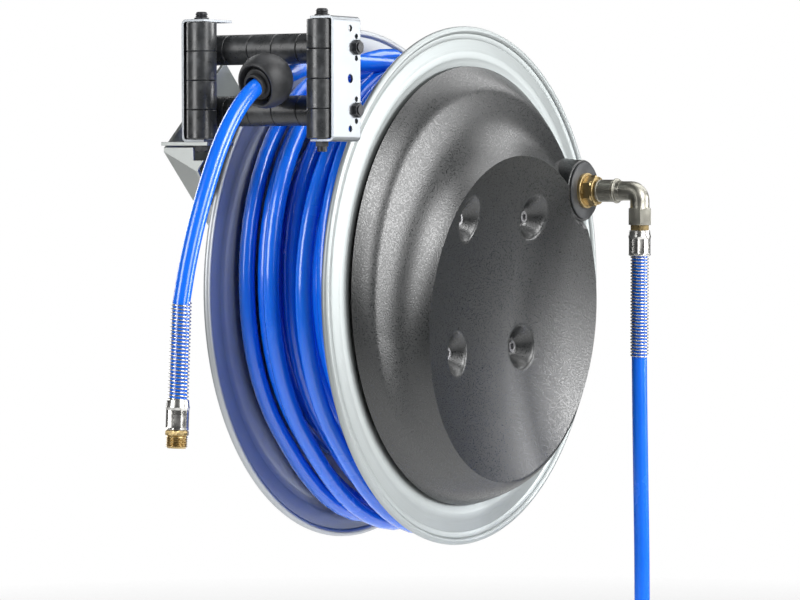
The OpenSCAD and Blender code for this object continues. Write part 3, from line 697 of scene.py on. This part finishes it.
def outer_turn(i):
    """One loose turn: it crosses to the next one at the back, stands off at the top and sags."""
    x, r = OUTER_TURNS[i]
    first, last = i == 0, i == len(OUTER_TURNS) - 1
    next_x, next_r = (FREE_START[0], FREE_START[2]) if last else OUTER_TURNS[i + 1]
    line = []
    for k in range(TURN_POINTS):
        angle = 360 * k / TURN_POINTS
        move = smoothstep((angle - CROSS_FROM) / (360 - CROSS_FROM))
        top, low = slack(angle)
        if first:
            top = top * smoothstep((angle - 40) / 60)
        if last:
            top = BACK_STAND * smoothstep((60 - angle) / 60) if angle < 180 else 0
        base = r + (next_r - r) * move
        lift = smoothstep(angle / 70) if first else 1
        inner = FIRST_R + LAYER
        line.append((x + (next_x - x) * move, angle, inner + (base - inner) * lift + top + low))
    return line


def winding_line():
    """The hose on the drum: two tight layers, then loose outer turns that sag."""
    line = tight_layers()
    for i in range(len(OUTER_TURNS)):
        line += outer_turn(i)
    line.append((FREE_START[0], 0, FREE_START[2]))
    return [
        Vector((x, -r * math.sin(math.radians(a)), r * math.cos(math.radians(a))))
        for x, a, r in line
    ]


def add_winding():
    """The wound hose as one cord."""
    line = winding_line()
    winding = piece_of(hose_along("winding", line, 4), "drum", "hose_blue", "wound_hose")


def guard_spring(name, length, matrix):
    """A round wire wound down the hose at an even pitch."""
    pitch, wire, per_turn = 2.75, 0.65, 20
    coil_r = HOSE_R + wire
    steps = length / pitch * per_turn
    points = []
    for k in range(int(steps) + 1):
        a = 2 * math.pi * k / per_turn
        down = -length * k / steps
        points.append(matrix @ Vector((coil_r * math.cos(a), coil_r * math.sin(a), down)))
    return round_wire(name, points, wire, 2)


def swaged_ferrule(name, low, high, matrix, radius=9.3):
    """A steel sleeve pressed in a ring of flats, with plain round ends."""
    bm = bmesh.new()
    sides, count = 10, 80
    length = high - low

    def ring(height, press):
        made = []
        for k in range(count):
            a = 2 * math.pi * k / count
            local = a % (2 * math.pi / sides) - math.pi / sides
            flat = radius * math.cos(math.pi / sides) / math.cos(local)
            r = radius - press * (radius - flat) * 1.6 - 0.45 * press
            made.append(bm.verts.new((r * math.cos(a), r * math.sin(a), height)))
        return made

    def plain(r, height):
        return add_ring(bm, r, height, count)

    rings = [
        plain(HOSE_R, low), plain(radius - 1.4, low), plain(radius - 0.3, low + 0.9),
        ring(low + 2.2, 1), ring(low + 0.66 * length, 1), ring(low + 0.74 * length, 0),
        plain(radius - 0.5, low + 0.82 * length), plain(radius - 0.9, high - 0.7),
        plain(radius - 1.6, high), plain(3.5, high),
    ]
    for one, two in zip(rings, rings[1:] + rings[:1]):
        join_rings(bm, one, two)
    return finish_mesh(bm, name, matrix, 14)


def tip_frame():
    """Matrix of the delivery end: Z runs back up the straight hose."""
    return place(*TIP_AT, turn_x=TIP_TILT)


def ball_frame():
    """Matrix of the stop ball: Z runs along the hose, towards the drum."""
    turn = Matrix.Rotation(math.radians(-6), 4, "Z") @ Matrix.Rotation(math.radians(-72), 4, "X")
    return Matrix.Translation(at(*BALL_AT)) @ turn @ Matrix.Scale(MM, 4)


def add_ball():
    """Rubber ball with a flat rim in front, a recess and two nested collars."""
    bore = HOSE_R + 0.8
    face = -13.0
    rim = math.sqrt(BALL_R ** 2 - face ** 2)
    start = math.degrees(math.asin(face / BALL_R))
    back = 16.5
    end = math.degrees(math.asin(back / BALL_R))
    profile = (
        [(13.9, -5.5), (15.5, face + 1.2), (16.0, face + 0.2), (rim - 0.6, face)]
        + arc(0, 0, BALL_R, start + 2.5, end, 28)
        + [(bore, back), (bore, -5.5)]
    )
    ball = lathe("stop_ball", profile, ball_frame(), 96, True, 28)
    piece_of(ball, "frame", "ball_rubber", "ball_stop")
    collar = (
        [(bore, -5), (12.5, -5.2)]
        + arc(11.6, -9.6, 0.9, 0, -90, 4)
        + [(9.7, -10.5), (9.6, -10.8)]
        + arc(8.9, -15.2, 0.7, 0, -90, 4)
        + [(bore, -15.9)]
    )
    sleeve = lathe("stop_sleeve", collar, ball_frame(), 72, True, 28)
    piece_of(sleeve, "frame", "ball_rubber", "stop_collar")
    return [ball, sleeve]


def add_nipple(tip, hex_top):
    """Brass nipple at the delivery end: a thin hexagon and an outside thread."""
    hex_low = hex_top - TIP_HEX
    low = hex_low - TIP_THREAD
    bore, crest, root, pitch = 4.5, 8.33, 7.35, 1.34
    thread = [(bore, hex_top - 2), (bore, low), (root - 0.4, low)]
    for k in range(6):
        z = low + 1.0 + k * pitch
        thread += [(root, z - 0.15), (crest, z + 0.4), (crest, z + 0.55)]
    thread += [(root, hex_low), (7.5, hex_low + 0.2), (7.5, hex_top - 2)]
    stub = lathe("nipple_thread", thread, tip, 72, True, 20)
    collar = nut("nipple_hex", 9.8, bore, hex_low, hex_top, tip, chamfer=0.5)
    return piece_of(merge("tip_nipple", [stub, collar]), "frame", "brass", "delivery_nipple")


def add_delivery():
    """Free hose with its stop ball, spring guard, ferrule and threaded nipple."""
    tip = tip_frame()
    guard = piece_of(
        guard_spring("tip_guard", TIP_GUARD, tip), "frame", "guard_wire", "delivery_spring_guard"
    )
    down = tip.to_3x3() @ Vector((0, 0, -1)) / MM
    straight = [Vector(TIP_AT) + down * s for s in (15, 30, 45, 60, TIP_GUARD)]
    line = catmull(DELIVERY_ROUTE, 6) + straight
    hose = piece_of(hose_along("free_hose", line, 7), "frame", "hose_blue", "delivery_hose")
    hex_top = -TIP_GUARD - TIP_FERRULE
    ferrule = piece_of(
        swaged_ferrule("tip_ferrule", hex_top, -TIP_GUARD + 1, tip), "frame", "ferrule_steel",
        "delivery_ferrule",
    )
    nipple = add_nipple(tip, hex_top)
    ball, sleeve = add_ball()


def add_supply():
    """Supply hose that hangs from the inlet elbow, with its spring guard and end fitting."""
    top = place(INLET_X, BOSS_Y, FERRULE_LOW)
    guard = piece_of(
        guard_spring("inlet_guard", GUARD_LEN, top), "inlet_drop", "guard_wire", "inlet_spring_guard"
    )
    line = catmull(INLET_ROUTE, 6)
    hose = piece_of(hose_along("supply_hose", line, 7), "inlet_drop", "hose_blue", "inlet_hose")
    end = place(INLET_X, BOSS_Y, 0)
    nut_top = INLET_END - 22
    ferrule = piece_of(
        swaged_ferrule("supply_ferrule", nut_top, INLET_END, end), "inlet_drop",
        "ferrule_steel", "inlet_end_ferrule",
    )
    low, bore, throat_r = nut_top - 16, 7.5, 3.5
    hexagon = nut("supply_hex", 12.7, bore, low, nut_top, end)
    step = [(bore, low + 12), (bore, low + 14), (throat_r, low + 14), (throat_r, low + 12)]
    throat = lathe("supply_throat", step, end, 48)
    fitting = piece_of(merge("supply_nut", [hexagon, throat]), "inlet_drop", "brass", "inlet_end_nut")


add_winding()
add_delivery()
add_supply()

# ---------------------------------------------------------------- discs


def disc_profile():
    """Closed outline of a disc: rolled bead, a step rib inside it, and a plain sheet to the hub."""
    a, b = DISC_IN, DISC_IN + SHEET
    bead = DISC_R - BEAD_R
    mid = (a + b) / 2
    turn = math.degrees(math.asin(SHEET / 2 / BEAD_R))
    outer = arc(bead, mid, BEAD_R, 180 - turn, -180 + turn, 28)
    rib = 1.2
    front = [
        (RIB_R + 14.2, b), (RIB_R + 13.2, b - 0.5), (RIB_R + 12.0, b),
        (RIB_R + 6.2, b), (RIB_R + 3.4, b + rib * 0.85), (RIB_R + 2.0, b + rib),
        (RIB_R - 2.0, b + rib), (RIB_R - 3.6, b + rib * 0.8), (RIB_R - 6.4, b),
    ]
    back = [(r, h - SHEET) for r, h in front[3:]]
    return [(HUB_R, b)] + list(reversed(front)) + outer + back + [(HUB_R, a)]


def add_discs():
    """The two discs of the drum, one the mirror of the other."""
    near = lathe("near_disc_sheet", disc_profile(), along_x(), 256, True, 40)
    piece_of(near, "drum", "stainless", "near_disc")
    mirrored = along_x() @ Matrix.Scale(-1, 4, (0, 0, 1))
    far = lathe("far_disc_sheet", disc_profile(), mirrored, 256, True, 40)
    piece_of(far, "drum", "stainless", "far_disc")
    near.data.materials[0] = DISC_STEEL
    far.data.materials[0] = FAR_DISC_STEEL


add_discs()

# ---------------------------------------------------------------- cover


def ridge_height(z):
    """Height of the tilted ridge."""
    return RIDGE_X + RIDGE_SLOPE * (z - RIDGE_Z)


def with_pockets(y, z, dish):
    """Height of the dish with the cones of the pockets cut into it, each with a rounded lip."""
    slope = POCKET_DEPTH / (POCKET_MOUTH - POCKET_FLOOR)
    drop = 0.0
    for i in (-1, 1):
        for k in (-1, 1):
            cy, cz = POCKET_Y + i * POCKET_HALF, POCKET_Z + k * POCKET_HALF
            r = math.hypot(y - cy, z - cz)
            if r < POCKET_MOUTH + 6:
                wall = min((POCKET_MOUTH - r) * slope / POCKET_LIP, 40)
                drop = max(drop, min(POCKET_LIP * math.log1p(math.exp(wall)), POCKET_DEPTH))
    return dish - drop


def dish_height(y, z):
    """Height of the dish: a shallow bowl that meets the ridge."""
    q = ((y - RIDGE_Y) ** 2 + (z - RIDGE_Z) ** 2) / RIDGE_R ** 2
    return ridge_height(z) - DISH_DEPTH * (1 - q)


def wall_rise(t, a):
    """Height of the wall from 0 to 1 across it: one round edge where it is narrow, and where it is
    wide a round shoulder and a slope that sweeps up to a crisp ridge."""
    gap = math.hypot(
        (COVER_R - RIDGE_R) * math.cos(a) - RIDGE_Y, (COVER_R - RIDGE_R) * math.sin(a) - RIDGE_Z
    )
    wide = min(max((gap - 20) / 45, 0), 1)
    narrow_form = math.sin(math.radians(90 * t)) ** 0.8
    shoulder = SHOULDER_RISE * math.sin(math.radians(90 * min(1, t / SHOULDER_END)))
    sweep = max(0.0, (t - SHOULDER_END) / (1 - SHOULDER_END))
    wide_form = (
        shoulder + SLOPE_RISE * t + (1 - SHOULDER_RISE - SLOPE_RISE) * sweep ** SWEEP_POWER
    )
    return (1 - wide) * narrow_form + wide * wide_form


def boss_seat(x, y, z):
    """Skin height kept below the face of the boss, round the grommet."""
    away = math.hypot(y - BOSS_Y, z - BOSS_Z) - BOSS_R
    return min(x, BOSS_X - SEAT_DROP + max(0.0, away))


def add_cover():
    """One skin from the outer edge over the wall and ridge into the dish and its pockets."""
    sides, wall_steps, dish_steps = 420, 60, 140
    bm = bmesh.new()
    rings = []

    def ring(point):
        rings.append([bm.verts.new(point(2 * math.pi * k / sides)) for k in range(sides)])

    rim_r = COVER_R - COVER_WALL
    ring(lambda a: (COVER_X, rim_r * math.cos(a), rim_r * math.sin(a)))
    for i in range(wall_steps):
        t = (i / (wall_steps - 1)) ** 1.25

        def wall_point(a, t=t):
            low_y, low_z = COVER_R * math.cos(a), COVER_R * math.sin(a)
            high_y, high_z = RIDGE_Y + RIDGE_R * math.cos(a), RIDGE_Z + RIDGE_R * math.sin(a)
            y, z = low_y + t * (high_y - low_y), low_z + t * (high_z - low_z)
            x = COVER_X + wall_rise(t, a) * (ridge_height(high_z) - COVER_X)
            return (boss_seat(x, y, z), y, z)

        ring(wall_point)
    for i in range(1, dish_steps):
        r = RIDGE_R * (1 - i / dish_steps)

        def dish_point(a, r=r):
            y, z = RIDGE_Y + r * math.cos(a), RIDGE_Z + r * math.sin(a)
            return (boss_seat(with_pockets(y, z, dish_height(y, z)), y, z), y, z)

        ring(dish_point)
    for one, two in zip(rings, rings[1:]):
        join_rings(bm, one, two)
    centre = bm.verts.new((dish_height(RIDGE_Y, RIDGE_Z), RIDGE_Y, RIDGE_Z))
    join_rings(bm, rings[-1], [centre])
    shell = finish_mesh(bm, "cover_skin", place(), 30)
    piece_of(shell, "frame", "cover_plastic", "cover")


def add_boss():
    """Round boss of the inlet, with a raised lip round its grommet face."""
    profile = (
        [(BOSS_R + 3.5, 62), (BOSS_R + 1.5, 74)]
        + [(BOSS_R, BOSS_X - 5)]
        + arc(BOSS_R - 1.1, BOSS_X - 1.1, 1.1, 0, 90, 5)
        + [(BOSS_R - 3, BOSS_X - 0.4), (9, BOSS_X - 0.4), (9, BOSS_X - 4)]
    )
    boss = lathe("cover_boss", profile, along_x(0, BOSS_Y, BOSS_Z), 128, False, 40)
    piece_of(boss, "frame", "cover_plastic")
    pad = rounded_block(BOSS_R - 2.2, 9, BOSS_X - 0.5, BOSS_X + 2, 1.0)
    grommet = lathe("boss_grommet", pad, along_x(0, BOSS_Y, BOSS_Z), 128)
    piece_of(grommet, "frame", "grommet_rubber", "inlet_grommet")


add_cover()
add_boss()

# ---------------------------------------------------------------- inlet fittings


def add_bulkhead():
    """Brass flange and hexagon that hold the swivel to the boss."""
    axis = along_x(0, BOSS_Y, BOSS_Z)
    bore, flange_r, corner_r, lip_r, spigot_r = 3, 15.5, 13.6, 12.4, 6
    flange = lathe("bulkhead_flange", rounded_block(flange_r, bore, 84, HEX_X, 0.8), axis, 96)
    hexagon = nut("bulkhead_hex", corner_r, bore, HEX_X - 0.2, HEX_X + 8.4, axis)
    rim = rounded_block(lip_r, bore, HEX_X + 8.2, SWIVEL_X - 0.3, 0.7)
    lip = lathe("bulkhead_lip", rim, axis, 96)
    start, end = SWIVEL_X - 0.6, SWIVEL_X + 14
    pipe = [(bore, start), (spigot_r, start), (spigot_r, end), (bore, end)]
    spigot = lathe("bulkhead_spigot", pipe, axis, 48)
    fitting = merge("bulkhead_fitting", [flange, hexagon, lip, spigot])
    piece_of(fitting, "frame", "brass", "inlet_bulkhead")


def add_swivel():
    """Nickel swivel barrel with a groove and a ring."""
    bore, barrel, groove = 6.1, 9.75, 9.3
    ring_x = SWIVEL_X + 18
    profile = (
        [(bore, SWIVEL_X), (9.2, SWIVEL_X), (barrel, SWIVEL_X + 0.6), (barrel, SWIVEL_X + 2)]
        + [(groove, SWIVEL_X + 2.3), (groove, SWIVEL_X + 2.9)]
        + [(barrel, SWIVEL_X + 3.2), (barrel, ring_x - 2.2), (9.4, ring_x - 1.9)]
        + arc(9.7, ring_x, 1.3, -70, 70, 6)
        + [(9.0, ring_x + 1.8), (8.6, ELBOW_X), (bore, ELBOW_X)]
    )
    body = lathe("swivel_barrel", profile, along_x(0, BOSS_Y, BOSS_Z), 96, True, 20)
    piece_of(body, "inlet_drop", "nickel", "inlet_swivel_body")


def add_elbow():
    """Cast nickel elbow from the swivel down to the union nut."""
    elbow = bmesh.new()
    sides, bend_steps = 48, 9
    rings = []

    def ring(x, z, turn, r=BEND_R):
        made = []
        for k in range(sides):
            a = 2 * math.pi * k / sides
            across, up = r * math.cos(a), r * math.sin(a)
            made.append(elbow.verts.new((x + up * math.sin(turn), across, z + up * math.cos(turn))))
        rings.append(made)

    ring(ELBOW_X - 0.5, BOSS_Z, 0)
    bend_x, bend_z = INLET_X - BEND_R, BOSS_Z - BEND_R
    ring(bend_x, BOSS_Z, 0)
    for k in range(1, bend_steps + 1):
        turn = math.radians(90 * k / bend_steps)
        ring(bend_x + BEND_R * math.sin(turn), bend_z + BEND_R * math.cos(turn), turn)
    ring(INLET_X, NUT_TOP + 0.8, math.pi / 2)
    ring(INLET_X, NUT_TOP - 0.5, math.pi / 2, BEND_R + 0.6)
    for one, two in zip(rings, rings[1:]):
        join_rings(elbow, one, two)
    elbow.faces.new(rings[0])
    elbow.faces.new(rings[-1])
    for vert in elbow.verts:
        vert.co.y += BOSS_Y
    casting = finish_mesh(elbow, "elbow_casting", place(), 40)
    piece_of(casting, "inlet_drop", "nickel", "inlet_elbow")


def add_hose_end():
    """Union nut, brass shoulder and swaged ferrule above the supply hose."""
    axis = place(INLET_X, BOSS_Y, 0)
    bore = 3.5
    union = nut("union_nut", 11, bore, NUT_LOW, NUT_TOP, axis, chamfer=0.8)
    piece_of(union, "inlet_drop", "nickel", "inlet_nut")
    shoulder = nut("tail_shoulder", 9.0, bore, TAIL_LOW, NUT_LOW, axis, chamfer=0.3)
    piece_of(shoulder, "inlet_drop", "brass", "inlet_tail")
    ferrule = swaged_ferrule("inlet_sleeve", FERRULE_LOW - 0.5, TAIL_LOW, axis, 9.9)
    piece_of(ferrule, "inlet_drop", "ferrule_steel", "inlet_ferrule")


add_bulkhead()
add_swivel()
add_elbow()
add_hose_end()

# ---------------------------------------------------------------- guide


def thread_profile(low, high, crest, root, pitch):
    """Open profile of a threaded end, from its low end to its domed top."""
    points = [(0, low), (crest, low)]
    z = low + 0.3
    while z + pitch < high - 0.4:
        points += [(root, z), (crest, z + pitch * 0.5), (crest, z + pitch * 0.7)]
        z += pitch
    return points + [(root, high - 0.4), (root - 0.8, high), (0, high)]


def add_guide_pins():
    """Black vertical pins: a threaded end and a washer show above each bracket."""
    parts = []
    for name in ("roller_left", "roller_right"):
        x = (middle(name).x - AXLE.x) / MM
        axis = place(x, PIN_FRONT_Y, 0)
        low, high = GUIDE_LOW - 8, GUIDE_HIGH
        rod = [(0, low), (PIN_R, low), (PIN_R, high), (0, high)]
        parts.append(lathe("pin_rod", rod, axis, 32, False))
        parts.append(lathe("pin_washer", rounded_block(6, 2, high, high + 1.4, 0.4), axis, 48))
        thread = thread_profile(high + 1.2, high + 6, 4.9, 4.2, 1.5)
        parts.append(lathe("pin_end", thread, axis, 48, False, 20))
    pins = merge("guide_pins", parts)
    piece_of(pins, "frame", "black_bolt", "vertical_pins")


add_guide_pins()

# ---------------------------------------------------------------- studio


def add_floor():
    """A pale round floor that fades away far from the reel."""
    bm = bmesh.new()
    lathe_into(bm, [(0, 0), (3, 0), (14, 0)], 64, False)
    floor = finish_mesh(bm, "studio_floor", Matrix.Translation((0, 0, cad_low[2] - 0.004)))
    shade = Shade("floor_paint", (0.94, 0.94, 0.94), roughness=0.6)
    shade.tint(shade.noise(3.0, 2.0), 0.99, 1.01)
    clear = shade.tree.nodes.new("ShaderNodeBsdfTransparent")
    reach = shade.node("ShaderNodeVectorMath", Vector=shade.coords)
    reach.operation = "LENGTH"
    fade = shade.ramp(reach.outputs["Value"], 0.8, 2.6, 0.0, 1.0)
    mix = shade.tree.nodes.new("ShaderNodeMixShader")
    shade.tree.links.new(fade, mix.inputs["Fac"])
    shade.tree.links.new(shade.shader.outputs[0], mix.inputs[1])
    shade.tree.links.new(clear.outputs[0], mix.inputs[2])
    shade.tree.links.new(mix.outputs[0], shade.tree.nodes["Material Output"].inputs["Surface"])
    floor.data.materials.append(shade.material)


LIGHT_REACH = 2.2  # from the axle to a panel, in metres


def round_axle(turn, rise):
    """Point in the studio: turn degrees from the front towards the right, rise degrees up."""
    a, e = math.radians(turn), math.radians(rise)
    way = Vector((math.sin(a) * math.cos(e), -math.cos(a) * math.cos(e), math.sin(e)))
    return AXLE + LIGHT_REACH * way


def add_light(name, place_at, size_x, size_y, power):
    """Soft panel aimed at the axle: its sides in metres and its power in watts."""
    data = bpy.data.lights.new(name, "AREA")
    data.shape = "RECTANGLE"
    data.size = size_x
    data.size_y = size_y
    data.energy = power
    light = add_object(name, data)
    light.location = place_at
    light.rotation_euler = (Vector(place_at) - AXLE).to_track_quat("Z", "Y").to_euler()


def add_world():
    """White backdrop to the camera; the reel itself sees it dark, so that the panels shape it."""
    world = bpy.data.worlds.new("studio")
    world.use_nodes = True
    tree = world.node_tree
    background = tree.nodes["Background"]
    background.inputs["Color"].default_value = (1, 1, 1, 1)
    bpy.context.scene.world = world
    seen = tree.nodes.new("ShaderNodeLightPath")
    strength = tree.nodes.new("ShaderNodeMapRange")
    strength.inputs["To Min"].default_value = 0.07
    strength.inputs["To Max"].default_value = 1.0
    tree.links.new(seen.outputs["Is Camera Ray"], strength.inputs["Value"])
    tree.links.new(strength.outputs["Result"], background.inputs["Strength"])


add_floor()
add_world()
add_light("front_key", (-0.75, -2.6, 0.75), 1.0, 1.6, 40)
add_light("right_key", (2.1, -1.0, 0.75), 0.8, 1.5, 24)
add_light("top_soft", (0.5, 0.5, 2.1), 1.4, 1.4, 20)
add_light("wall_panel", round_axle(80, 35), 1.0, 1.0, 25)
add_light("dish_panel", round_axle(125, 7), 1.0, 0.8, 26)
add_light("edge_panel", round_axle(160, 35), 1.0, 1.0, 11)
add_light("back_fill", round_axle(-110, 20), 1.4, 1.4, 22)

bpy.context.scene.view_settings.view_transform = "Standard"
